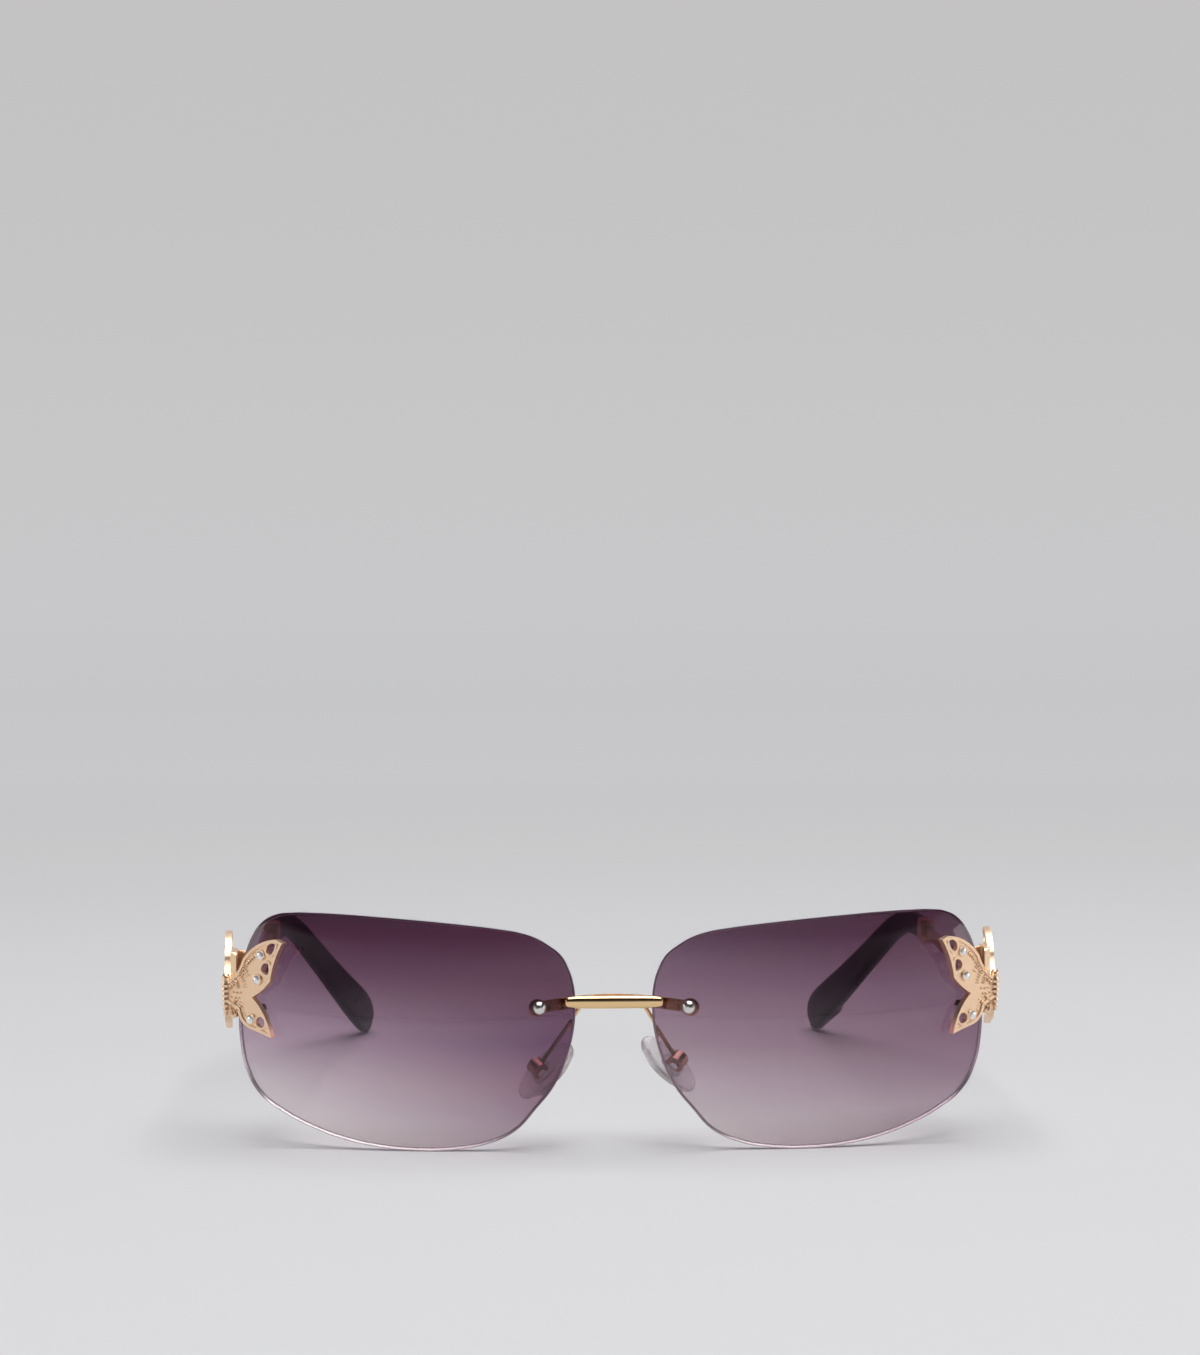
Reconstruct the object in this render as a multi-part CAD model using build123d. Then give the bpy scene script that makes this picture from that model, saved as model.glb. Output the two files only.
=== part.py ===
from build123d import *
from math import asin, atan2, cos, radians, sin, sqrt
import os

# Rimless sunglasses with a butterfly casting on each corner, standing open on a table.
# Millimetres and degrees. +Z is up, the front looks along -Y, and left is the wearer's left, +X.
# The front is drawn upright in its own frame and then leaned back into its standing pose.

# Sizes used all over
running_gap = 0.05          # radial play of a pin in its hole
cut_overrun = 1.0           # how far a cutter passes the surface that it opens
front_lean = 3.5            # the front tips back by this much when the glasses stand open

# Lenses, cut from a ball-shaped blank
lens_width = 66.5
lens_height = 45.7
lens_thickness = 2.0
lens_base_radius = 66.25
lens_wrap = 8.5
lens_inner_edge = 9.436     # nasal edge of the lens, from the middle of the glasses
lens_centre_z = 23.0
lens_outline_shares = [
    (0.329, 0.460),
    (0.120, 0.449),
    (-0.090, 0.428),
    (-0.284, 0.3985),
    (-0.416, 0.322),
    (-0.4805, 0.1555),
    (-0.4775, -0.043),
    (-0.428, -0.2635),
    (-0.314, -0.460),
    (-0.150, -0.538),
    (0.075, -0.5335),
    (0.284, -0.460),
    (0.452, -0.324),
    (0.512, -0.086),
    (0.5105, 0.194),
    (0.458, 0.3866),
]
lens_inner_share = -0.486
lens_outer_share = 0.512

# Bushes and fasteners that pass through the lenses
bush_wall = 0.35
bush_recess = 0.05
shank_radius = 0.70
bridge_head_radius = 1.35
bridge_head_height = 0.85
bridge_nut_radius = 1.30
bridge_nut_height = 1.10
bridge_screw_inset = 6.0    # from the nasal edge of the lens
bridge_screw_rise = 3.1     # above the middle of the lens
screw_tail = 0.25           # thread that shows past a nut
nut_lift = 0.02             # keeps a nut's flat face off the hollow of the piece that it tightens

# Bridge: a strap behind the lenses and a polished bar in front of them
strap_height = 2.3
strap_thickness = 0.8
strap_join_x = 9.3
strap_arch_rise = 1.1
strap_tab_radius = 1.7
bar_length = 19.2
bar_height = 2.4
bar_depth = 2.1
bar_edge_radius = 0.85
bar_end_bevel = 0.4
bar_clearance = 0.59        # from the bar's back to the nasal edge of the lens
bar_above_screw = 1.1
lug_radius = 0.8
lug_spacing = 9.0

# Pad arms, boxes and nose pads
arm_wire_radius = 0.42
arm_root_x = 5.7
arm_root_above_screw = 0.5
arm_root_reach = 1.9
arm_bend_radius = 1.3
pad_lean = 46.0             # the pad's long axis, from upright, seen from the front
pad_splay = 45.0            # how far the pad's face turns back from facing across
pad_box_y = 8.7
pad_box_radius = 1.75
pad_box_width = 2.6
pad_box_lip = 1.0
pad_slot_width = 1.25
pad_slot_floor = 1.0
pad_screw_radius = 0.5
pad_screw_head_radius = 0.8
pad_screw_head_height = 0.45
pad_ear_radius = 0.85
pad_length = 14.2
pad_width = 7.6
pad_thickness = 2.4
pad_profile_shares = [(0.0, 0.78), (0.22, 0.96), (0.55, 1.0), (0.85, 0.88), (1.0, 0.66)]   # depth, breadth
pad_standoff = 1.5          # from the screw to the back of the pad
pad_shift_up = 0.7
pad_plate_length = 4.8
pad_plate_width = 2.8
pad_plate_thickness = 0.7
pad_plate_cover = 0.6
pad_box_places = {"left": (12.9, 14.9), "right": (15.0, 13.7)}  # hand set, as a wearer's are

# Butterfly: one casting bent about its body, half before the lens and half along the side
spine_outward = 2.72        # from the lens's outer edge
spine_forward = 0.25
front_wing_turn = 36.0      # from facing forwards to facing outwards
side_wing_splay = 1.0
wing_base_z = 19.85
wing_span = 14.6
wing_height = 19.5
wing_thickness = 1.0
rim_width = 0.62
rim_height = 0.25
cutout_rim_width = 0.45
fore_lead_shares = [(0.028, 0.540), (0.178, 0.623), (0.315, 0.787), (0.551, 0.931), (0.877, 1.000)]
fore_tip_share = (0.993, 0.967)
fore_trail_shares = [(0.877, 0.815), (0.780, 0.575), (0.596, 0.456), (0.469, 0.402)]
hind_trail_shares = [(0.660, 0.245), (0.795, 0.003)]
hind_lead_shares = [(0.640, 0.040), (0.452, 0.079), (0.267, 0.172), (0.219, 0.264)]
wing_root_shares = [(0.000, 0.345), (0.000, 0.540)]
stone_shares = [(0.610, 0.833), (0.551, 0.582), (0.438, 0.179)]
cutout_shares = [
    [(0.723, 0.905), (0.795, 0.958), (0.870, 0.950), (0.848, 0.895), (0.790, 0.842), (0.736, 0.850)],
    [(0.627, 0.700), (0.690, 0.755), (0.747, 0.752), (0.757, 0.700), (0.745, 0.645), (0.680, 0.645)],
    [(0.535, 0.145), (0.590, 0.207), (0.658, 0.108), (0.590, 0.105)],
]

body_radius = 0.9
body_out = -0.1             # the body's axis from the bend's corner, outwards
body_sides = 10
head_profile_shares = [(1.0, 0.3), (0.8, 0.65), (0.25, 0.98), (-0.35, 0.94)]    # height, reach
groove_share = 0.80         # radius of the groove between two rings, of the ring's own
head_radius = 0.82
head_share = 0.585
thorax_top_share = 0.535
abdomen_end_share = 0.180
body_rings = 7
ring_taper = 0.50           # the last ring's radius, as a share of the first

stone_radius = 0.85
stone_table_radius = 0.50
stone_crown = 0.35
stone_girdle = 0.10
stone_depth = 0.45
stone_culet_radius = 0.15
stone_facets = 8
seat_wall = 0.26
seat_height = 0.32
seat_play = 0.02

# Wing studs, through the lens and the end piece
stud_collar_radius = 1.2
wing_nut_radius = 1.25
wing_nut_height = 1.0
stud_places = [(4.25, 10.7), (2.85, 1.9)]       # from the lens's outer edge, above its middle

# End piece: a leg behind the lens, a side plate and two hinge knuckles
leg_thickness = 1.0
leg_tab_radius = 1.8
leg_root_inset = 1.75
side_plate_thickness = 1.2
side_plate_front = 0.35
side_plate_length = 9.4
end_piece_low = 0.1
end_piece_high = 13.2
end_piece_corner = 1.2

# Hinge
hinge_back = 8.5            # behind the butterfly's spine
hinge_height = 31.3         # middle of the hinge above the lens bottoms
knuckle_radius = 1.25
knuckle_height = 2.2
knuckle_gap = 0.06
knuckle_web = 1.5
hinge_pin_radius = 0.6
hinge_head_radius = 1.05
hinge_head_height = 0.55
screw_slot_width = 0.28
screw_slot_depth = 0.25

# Temples, from the hinge back
arm_thickness = 1.4
arm_height = 2.6
arm_edge_round = 0.45
arm_start = 1.75
neck_thickness = 1.2
ferrule_from_hinge = 53.5
ferrule_inward = 3.1
ferrule_rise = 0.7
ferrule_length = 4.0
ferrule_width = 3.0
ferrule_height = 5.0
ferrule_round = 0.7
core_thickness = 1.2
core_height = 1.9
core_length = 7.5
sleeve_bend_back = 75.2
sleeve_bend_inward = 5.7
sleeve_tip_back = 115.0
sleeve_tip_inward = 21.6
sleeve_bend_radius = 28.0
sleeve_start_height = 4.7
sleeve_start_width = 3.0
sleeve_shape_shares = [     # along the path, height, width
    (0.00, 1.00, 1.00),
    (0.12, 1.02, 1.00),
    (0.18, 1.03, 1.01),
    (0.25, 1.04, 1.02),
    (0.32, 1.06, 1.02),
    (0.38, 1.08, 1.02),
    (0.56, 1.12, 1.00),
    (0.74, 1.25, 0.96),
    (0.90, 1.38, 0.90),
    (0.97, 1.25, 0.80),
    (1.00, 0.90, 0.55),
]
tip_floor_gap = 0.08

lens_inner_x = lens_inner_share * lens_width
lens_outer_x = lens_outer_share * lens_width
lens_centre_x = lens_inner_edge - lens_inner_x * cos(radians(lens_wrap))
back_radius = lens_base_radius - lens_thickness
hole_radius = shank_radius + running_gap + bush_wall + running_gap


# Lens frame: x across and outward, z up, on the ball that the front surface lies on
lens_place = Location((lens_centre_x, 0, lens_centre_z), (0, 0, lens_wrap))
ball_centre = Pos(0, lens_base_radius, 0)


def lens_seat(x, z):
    """Place on the front of the left lens, with its own Z along the outward normal."""
    fall = sqrt(lens_base_radius**2 - x**2 - z**2)
    normal = Vector(x, -fall, z) / lens_base_radius
    across = Vector(-normal.Y, normal.X, 0).normalized()
    seat = Plane(origin=(x, lens_base_radius - fall, z), x_dir=across, z_dir=normal)
    return lens_place * seat.location


def rod(radius, low, high):
    """Round bar along Z between two heights."""
    return Pos(0, 0, low) * Cylinder(radius, high - low, align=(Align.CENTER, Align.CENTER, Align.MIN))


def right_hand(shape):
    return mirror(shape, about=Plane.YZ)


def smooth_arcs(points):
    """Pairs of tangent arcs through the points, with no corner at any of them."""
    spots = [Vector(*point) for point in points]
    ways = []
    for number, here in enumerate(spots):
        back = here - spots[number - 1]
        onward = spots[(number + 1) % len(spots)] - here
        ways.append((back / back.length**2 + onward / onward.length**2).normalized())
    arcs = []
    for number in range(len(spots)):
        after = (number + 1) % len(spots)
        gap = spots[after] - spots[number]
        along = gap.dot(ways[number] + ways[after])
        bend = 2 * (1 - ways[number].dot(ways[after])) * gap.dot(gap)
        reach = gap.dot(gap) / (along + sqrt(along**2 + bend))
        middle = (spots[number] + spots[after] + (ways[number] - ways[after]) * reach) / 2
        arcs.append(TangentArc(spots[number], middle, tangent=ways[number]))
        arcs.append(TangentArc(middle, spots[after], tangent=arcs[-1] % 1))
    return arcs


bridge_seat = lens_seat(lens_inner_x + bridge_screw_inset, bridge_screw_rise)
stud_seats = [lens_seat(lens_outer_x - inset, z) for inset, z in stud_places]


# Lenses
def lens_blank():
    """Ball-shaped blank cut to the outline, before it is drilled."""
    points = [(x * lens_width, z * lens_height) for x, z in lens_outline_shares]
    outline = Plane.XZ * make_face(smooth_arcs(points))
    block = extrude(outline, amount=-lens_base_radius / 2) + extrude(outline, amount=cut_overrun)
    shell = ball_centre * Sphere(lens_base_radius) - ball_centre * Sphere(back_radius)
    return lens_place * (block & shell)


left_blank = lens_blank()


def make_lens():
    lens = left_blank
    for seat in [bridge_seat] + stud_seats:
        lens -= seat * rod(hole_radius, -lens_thickness - cut_overrun, cut_overrun)
    return lens


def make_bush(seat):
    """Clear nylon bush that fills the lens hole round a shank."""
    bush = rod(hole_radius - running_gap, -lens_thickness + bush_recess, -bush_recess)
    return seat * (bush - rod(shank_radius + running_gap, -lens_thickness, 0))


def make_nut(seat, carrier_thickness, radius, height):
    face = -lens_thickness - carrier_thickness - nut_lift
    prism = extrude(RegularPolygon(radius, 6), amount=height)
    nut = Pos(0, 0, face - height) * prism
    return seat * (nut - rod(shank_radius + running_gap / 2, face - height, face))


# Bridge. In plan the strap follows both lens backs and arcs across the gap between them.
strap_ball = (lens_place * ball_centre).position
join_angle = asin((strap_ball.X - strap_join_x) / back_radius)
arch_radius = strap_join_x / sin(join_angle)
arch_centre_y = strap_ball.Y - (back_radius + arch_radius) * cos(join_angle)


def strap_plan():
    def on_ball(radius, angle):
        return (strap_ball.X - radius * sin(angle), strap_ball.Y - radius * cos(angle))

    def other(point):
        return (-point[0], point[1])

    outer_angle = join_angle / 3
    mid_angle = (outer_angle + join_angle) / 2
    angles = (outer_angle, mid_angle, join_angle)
    front, middle, join = [on_ball(back_radius, angle) for angle in angles]
    rear, rear_middle, rear_join = [on_ball(back_radius - strap_thickness, angle) for angle in angles]
    crown = (0, arch_centre_y + arch_radius)
    rear_crown = (0, arch_centre_y + arch_radius + strap_thickness)
    return make_face([
        ThreePointArc(front, middle, join),
        ThreePointArc(join, crown, other(join)),
        ThreePointArc(other(join), other(middle), other(front)),
        Line(other(front), other(rear)),
        ThreePointArc(other(rear), other(rear_middle), other(rear_join)),
        ThreePointArc(other(rear_join), rear_crown, rear_join),
        ThreePointArc(rear_join, rear_middle, rear),
        Line(rear, front),
    ])


def strap_back_y(x):
    """How far back the strap's rear face lies at x, in the gap between the lenses."""
    return arch_centre_y + sqrt((arch_radius + strap_thickness)**2 - x**2)


bar_y = lens_seat(lens_inner_x, 0).position.Y - bar_clearance - bar_depth / 2
tab_centre = (bridge_seat * Pos(0, 0, -lens_thickness - strap_thickness / 2)).position
screw_height = bridge_seat.position.Z
bar_z = screw_height + bar_above_screw


def make_strap():
    rise = 4 * strap_tab_radius
    ribbon = Pos(0, 0, tab_centre.Z - rise / 2) * extrude(strap_plan(), amount=rise)
    half = strap_height / 2
    low_end = tab_centre.Z - half
    high_end = tab_centre.Z + half
    outline = make_face([
        ThreePointArc((-tab_centre.X, low_end), (0, low_end + strap_arch_rise), (tab_centre.X, low_end)),
        Line((tab_centre.X, low_end), (tab_centre.X, high_end)),
        ThreePointArc((tab_centre.X, high_end), (0, high_end + strap_arch_rise), (-tab_centre.X, high_end)),
        Line((-tab_centre.X, high_end), (-tab_centre.X, low_end)),
    ])
    for x in (-tab_centre.X, tab_centre.X):
        outline += Pos(x, tab_centre.Z) * Circle(strap_tab_radius)
    shadow = extrude(Plane.XZ * outline, amount=-lens_base_radius / 2)
    hole = bridge_seat * rod(shank_radius + running_gap, -2 * lens_thickness - cut_overrun, 0)
    strap = (ribbon & shadow) - left_blank - right_hand(left_blank)
    return strap - hole - right_hand(hole)


bridge_strap = make_strap()


def make_bar():
    """Straight round-edged bar with two lugs back to the strap."""
    place = Plane(origin=(-bar_length / 2, bar_y, bar_z), x_dir=(0, 0, 1), z_dir=(1, 0, 0))
    bar = extrude(place * RectangleRounded(bar_height, bar_depth, bar_edge_radius), amount=bar_length)
    ends = bar.faces().sort_by(Axis.X)
    bar = chamfer(ends[0].edges() + ends[-1].edges(), bar_end_bevel)
    lug_x = lug_spacing / 2
    lug_end = strap_back_y(lug_x) - strap_thickness / 2
    for x in (-lug_x, lug_x):
        lug = Plane.XZ * (Pos(x, bar_z) * Circle(lug_radius))
        bar += Pos(0, bar_y, 0) * extrude(lug, amount=bar_y - lug_end) - bridge_strap
    return bar


def make_bridge_screw():
    """Domed silver head before the lens, its shank through bush, strap and nut."""
    tail = -lens_thickness - strap_thickness - bridge_nut_height - screw_tail
    dome_radius = (bridge_head_radius**2 + bridge_head_height**2) / (2 * bridge_head_height)
    dome = Pos(0, 0, bridge_head_height - dome_radius) * Sphere(dome_radius)
    head = dome & rod(bridge_head_radius, 0, bridge_head_height)
    return bridge_seat * (head + rod(shank_radius, tail, 0))


# Nose pads
def pad_frame(side):
    """Plane at the pad screw: X along the screw, Z towards the pad, Y down the pad."""
    lean = radians(pad_lean)
    splay = radians(pad_splay)
    across = Vector(-cos(lean), 0, -sin(lean))
    back = Vector(0, 1, 0)
    towards_pad = across * cos(splay) + back * sin(splay)
    along_screw = back * cos(splay) - across * sin(splay)
    x, z = pad_box_places[side]
    return Plane(origin=(x, pad_box_y, z), x_dir=along_screw, z_dir=towards_pad).location


def lying_rod(radius, low, high):
    """Round bar along the screw of the pad frame."""
    return Rot(0, 90, 0) * rod(radius, low, high)


def pad_box_solid():
    half = pad_box_width / 2
    drum = lying_rod(pad_box_radius, -half, half)
    face = Pos(0, 0, pad_box_lip) * Box(
        2 * pad_box_width, 4 * pad_box_radius, 2 * pad_box_radius,
        align=(Align.CENTER, Align.CENTER, Align.MIN),
    )
    return drum - face


def make_pad_box(side):
    slot = Pos(0, 0, -pad_slot_floor) * Box(
        pad_slot_width, 4 * pad_box_radius, 4 * pad_box_radius,
        align=(Align.CENTER, Align.CENTER, Align.MIN),
    )
    bore = lying_rod(pad_screw_radius + running_gap / 2, -pad_box_width, pad_box_width)
    return pad_frame(side) * (pad_box_solid() - slot - bore)


def make_pad_screw(side):
    half = pad_box_width / 2
    head = lying_rod(pad_screw_head_radius, -half - pad_screw_head_height, -half)
    slot = Pos(-half - pad_screw_head_height, 0, 0) * Box(
        2 * screw_slot_depth, screw_slot_width, 4 * pad_screw_head_radius
    )
    return pad_frame(side) * (head - slot + lying_rod(pad_screw_radius, -half, half))


def pad_insert_solid():
    ear_width = pad_slot_width - 2 * running_gap
    plate_low = pad_standoff + pad_plate_cover
    disc = lying_rod(pad_ear_radius, -ear_width / 2, ear_width / 2)
    stem = Box(
        ear_width, 2 * pad_ear_radius, plate_low, align=(Align.CENTER, Align.CENTER, Align.MIN)
    )
    plate = extrude(
        RectangleRounded(pad_plate_width, pad_plate_length, pad_plate_width / 3),
        amount=pad_plate_thickness,
    )
    bore = lying_rod(pad_screw_radius + running_gap, -ear_width, ear_width)
    return disc + stem + Pos(0, 0, plate_low) * plate - bore


def make_pad_insert(side):
    return pad_frame(side) * pad_insert_solid()


def make_nose_pad(side):
    ovals = [
        Pos(0, -pad_shift_up, pad_standoff + depth * pad_thickness)
        * Ellipse(reach * pad_width / 2, pad_length / 2 - (1 - reach) * pad_width / 2)
        for depth, reach in pad_profile_shares
    ]
    return pad_frame(side) * (loft(ovals, ruled=True) - pad_insert_solid())


def make_pad_arm(side):
    """Wire from the back of the strap, back and down to the pad box."""
    x, z = pad_box_places[side]
    root = Vector(arm_root_x, strap_back_y(arm_root_x), screw_height + arm_root_above_screw)
    elbow = root + Vector(0, arm_root_reach, 0)
    box = Vector(x, pad_box_y, z)
    line = FilletPolyline(root, elbow, box, radius=arm_bend_radius)
    start = Plane(origin=root, z_dir=(0, 1, 0))
    wire = sweep(start * Circle(arm_wire_radius), path=line)
    return wire - pad_frame(side) * pad_box_solid() - bridge_strap


# Butterfly casting
lens_corner = lens_seat(lens_outer_x, 0).position
spine_x = lens_corner.X + spine_outward
spine_y = lens_corner.Y - spine_forward
turn = radians(front_wing_turn)
splay = radians(side_wing_splay)
spine_foot = (spine_x, spine_y, wing_base_z)
front_wing_plane = Plane(spine_foot, x_dir=(cos(turn), sin(turn), 0), z_dir=(sin(turn), -cos(turn), 0))
side_wing_plane = Plane(spine_foot, x_dir=(sin(splay), cos(splay), 0), z_dir=(cos(splay), -sin(splay), 0))
wing_places = [(front_wing_plane, -1), (side_wing_plane, 1)]


def wing_point(share, sense):
    return (sense * share[0] * wing_span, share[1] * wing_height)


def wing_points(shares, sense):
    return [wing_point(share, sense) for share in shares]


def arcs_through(points):
    """One arc for each three points, the last of them shared with the next arc."""
    return [ThreePointArc(*points[first:first + 3]) for first in range(0, len(points) - 1, 2)]


def wing_face(sense):
    """Outline of one fore wing and hind wing, from the spine out."""
    lead = wing_points(fore_lead_shares, sense)
    tip = wing_point(fore_tip_share, sense)
    trail = wing_points(fore_trail_shares, sense)
    hind_trail = wing_points(hind_trail_shares, sense)
    hind_lead = wing_points(hind_lead_shares, sense)
    root = wing_points(wing_root_shares, sense)
    return make_face([
        Line(root[-1], lead[0]),
        *arcs_through(lead),
        Line(lead[-1], tip),
        *arcs_through([tip] + trail),
        *arcs_through([trail[-1]] + hind_trail),
        *arcs_through([hind_trail[-1]] + hind_lead),
        Line(hind_lead[-1], root[0]),
        Line(*root),
    ])


def closed_curve(shares, sense):
    points = wing_points(shares, sense)
    return make_face(arcs_through(points + points[:1]))


def seat_spot(share, sense):
    return Pos(*wing_point(share, sense))


def make_wing(plane, sense):
    """Plate with a raised rim round its edge and its cut-outs, and a collar for each stone."""
    plate = wing_face(sense)
    rim = plate - offset(plate, amount=-rim_width)
    for shares in cutout_shares:
        hole = closed_curve(shares, sense)
        rim += offset(hole, amount=cutout_rim_width)
        rim -= hole
        plate -= hole
    rim &= wing_face(sense)
    wing = extrude(plate, amount=-wing_thickness) + extrude(rim, amount=rim_height)
    for share in stone_shares:
        spot = seat_spot(share, sense)
        wing += spot * rod(stone_radius + seat_wall, -wing_thickness / 2, seat_height)
        wing -= spot * rod(stone_radius + seat_play, -stone_depth, seat_height)
    return plane.location * wing


def make_body():
    """Head, thorax and ringed abdomen down the bend of the casting."""
    out = radians((front_wing_turn + side_wing_splay) / 2 - 45)
    spot = Pos(spine_x + body_out * cos(out), spine_y + body_out * sin(out), wing_base_z)
    head = head_share * wing_height
    top = thorax_top_share * wing_height
    low = abdomen_end_share * wing_height
    step = (top - low) / body_rings
    profile = [(reach * head_radius, head + rise * head_radius) for rise, reach in head_profile_shares]
    for ring in range(body_rings):
        radius = body_radius * (1 - (1 - ring_taper) * (ring / (body_rings - 1))**2)
        profile.append((radius * groove_share, top - ring * step))
        profile.append((radius, top - (ring + 1 / 2) * step))
    slices = [Pos(0, 0, z) * RegularPolygon(radius, body_sides) for radius, z in profile]
    return spot * loft(slices, ruled=True)


def space_ahead(plane, depth):
    """Everything beyond a face that lies this deep behind a wing's front."""
    return plane.offset(-depth).location * Box(
        4 * wing_span, 4 * wing_height, 4 * wing_span, align=(Align.CENTER, Align.CENTER, Align.MIN)
    )


def front_stud(seat):
    """Stud with a collar between wing and lens, its thread through lens, leg and nut."""
    tail = -lens_thickness - leg_thickness - wing_nut_height - screw_tail
    collar = seat * rod(stud_collar_radius, 0, 3 * lens_thickness)
    collar -= space_ahead(front_wing_plane, wing_thickness / 2)
    collar -= lens_place * ball_centre * Sphere(lens_base_radius)
    return collar + seat * rod(shank_radius, tail, stud_collar_radius / 2)


def make_butterfly():
    front_wing, side_wing = [make_wing(plane, sense) for plane, sense in wing_places]
    casting = front_wing + side_wing
    for seat in stud_seats:
        casting += front_stud(seat)
    return casting + make_body()


def make_stone():
    """Round crystal: a faceted crown, a thin girdle and a short point."""
    girdle = RegularPolygon(stone_radius, stone_facets)
    band = extrude(girdle, amount=stone_girdle)
    table = Pos(0, 0, stone_crown) * RegularPolygon(stone_table_radius, stone_facets)
    crown = loft([Pos(0, 0, stone_girdle) * girdle, table], ruled=True)
    culet = Pos(0, 0, stone_girdle - stone_depth) * RegularPolygon(stone_culet_radius, stone_facets)
    pavilion = loft([culet, girdle], ruled=True)
    return band + crown + pavilion


def make_stones():
    sunk = Pos(0, 0, -stone_girdle / 2)
    return [
        plane.location * seat_spot(share, sense) * sunk * make_stone()
        for plane, sense in wing_places
        for share in stone_shares
    ]


# End piece, in the front's frame
def leg_outline():
    """Leg behind the lens, from the front: a strip at the lens edge and a tab for each stud."""
    outer = lens_outer_x + side_plate_thickness
    root = lens_outer_x - leg_root_inset
    high = end_piece_high
    low = end_piece_low
    strip = Pos((root + outer) / 2, (low + high) / 2) * Rectangle(outer - root, high - low)
    for inset, z in stud_places:
        x = lens_outer_x - inset
        strip += Pos(x, z) * Circle(leg_tab_radius)
        strip += Pos((x + root) / 2, z) * Rectangle(root - x, 2 * leg_tab_radius)
    return strip


def make_end_plate():
    shell = ball_centre * Sphere(back_radius) - ball_centre * Sphere(back_radius - leg_thickness)
    leg = lens_place * (shell & extrude(Plane.XZ * leg_outline(), amount=-lens_base_radius / 2))
    for seat in stud_seats:
        leg -= seat * rod(shank_radius + running_gap, -2 * lens_thickness - leg_thickness, 0)
    low = lens_centre_z + end_piece_low - wing_base_z
    high = lens_centre_z + end_piece_high - wing_base_z
    length = side_plate_front + side_plate_length
    side = Pos((side_plate_length - side_plate_front) / 2, (low + high) / 2) * Rectangle(length, high - low)
    side = fillet(side.vertices().sort_by(Axis.X)[:2], end_piece_corner)
    plate = Pos(0, 0, -wing_thickness - side_plate_thickness) * extrude(side, amount=side_plate_thickness)
    leg -= space_ahead(side_wing_plane, wing_thickness + side_plate_thickness / 2)
    return leg + side_wing_plane.location * plate - space_ahead(front_wing_plane, wing_thickness)


# Standing pose: the front leans back and drops on to the lens bottoms
leaned = Location((0, 0, 0), (-front_lean, 0, 0))
stand_rise = -(leaned * left_blank).bounding_box().min.Z
standing = Location((0, 0, stand_rise), (-front_lean, 0, 0))


# Hinge, upright in the standing pose
side_plate_inner_x = spine_x - wing_thickness - side_plate_thickness
hinge_x = side_plate_inner_x - knuckle_radius + running_gap
hinge_y = spine_y + hinge_back
hinge_spot = Pos(hinge_x, hinge_y, hinge_height)
middle_half = knuckle_height / 2
hinge_half = 1.5 * knuckle_height + knuckle_gap


def make_end_piece():
    end_piece = standing * make_end_plate()
    for low in (middle_half + knuckle_gap, -hinge_half):
        knuckle = rod(knuckle_radius, low, low + knuckle_height)
        web = Pos(knuckle_radius / 2, 0, low) * Box(
            knuckle_radius + side_plate_thickness / 2, knuckle_web, knuckle_height,
            align=(Align.CENTER, Align.CENTER, Align.MIN),
        )
        end_piece += hinge_spot * (knuckle + web)
    bore = rod(hinge_pin_radius + running_gap / 2, -hinge_half - cut_overrun, 2 * hinge_half)
    head_room = rod(hinge_head_radius + knuckle_gap, hinge_half, 2 * hinge_half)
    return end_piece - hinge_spot * (bore + head_room)


def make_hinge_screw():
    top = hinge_half + hinge_head_height
    head = rod(hinge_head_radius, hinge_half, top)
    slot = Pos(0, 0, top) * Box(4 * hinge_head_radius, screw_slot_width, 2 * screw_slot_depth)
    return hinge_spot * (head - slot + rod(hinge_pin_radius, -hinge_half, hinge_half))


# Temples
def temple_point(back, inward, rise):
    return Vector(hinge_x - inward, hinge_y + back, hinge_height + rise)


ferrule_front = temple_point(ferrule_from_hinge, ferrule_inward, ferrule_rise)
arm_way = (ferrule_front - temple_point(0, 0, 0)).normalized()
arm_lateral = arm_way.cross(Vector(0, 0, 1)).normalized()


def along_arm(distance):
    """Plane square to the arm: X across it, Y up."""
    return Plane(origin=temple_point(0, 0, 0) + arm_way * distance, x_dir=arm_lateral, z_dir=arm_way)


ferrule_distance = (ferrule_front - temple_point(0, 0, 0)).length
sleeve_distance = ferrule_distance + ferrule_length


def make_temple_arm():
    """Flat bar with the middle knuckle in front and a core for the sleeve behind."""
    bar_face = along_arm(arm_start) * RectangleRounded(arm_thickness, arm_height, arm_edge_round)
    bar = extrude(bar_face, amount=ferrule_distance - arm_start)
    core_face = along_arm(ferrule_distance) * Rectangle(core_thickness, core_height)
    core = extrude(core_face, amount=ferrule_length + core_length)
    knuckle = hinge_spot * rod(knuckle_radius, -middle_half, middle_half)
    neck_height = knuckle_height - 2 * knuckle_gap
    neck = extrude(along_arm(0) * Rectangle(neck_thickness, neck_height), amount=2 * arm_start)
    arm = bar + core + knuckle + neck
    return arm - hinge_spot * rod(hinge_pin_radius + running_gap, -hinge_half, hinge_half)


def core_space(start, length):
    section = Rectangle(core_thickness + 2 * running_gap, core_height + 2 * running_gap)
    return extrude(along_arm(start) * section, amount=length)


def make_ferrule():
    section = RectangleRounded(ferrule_width, ferrule_height, ferrule_round)
    block = extrude(along_arm(ferrule_distance) * section, amount=ferrule_length)
    return block - core_space(ferrule_distance, ferrule_length)


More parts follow.
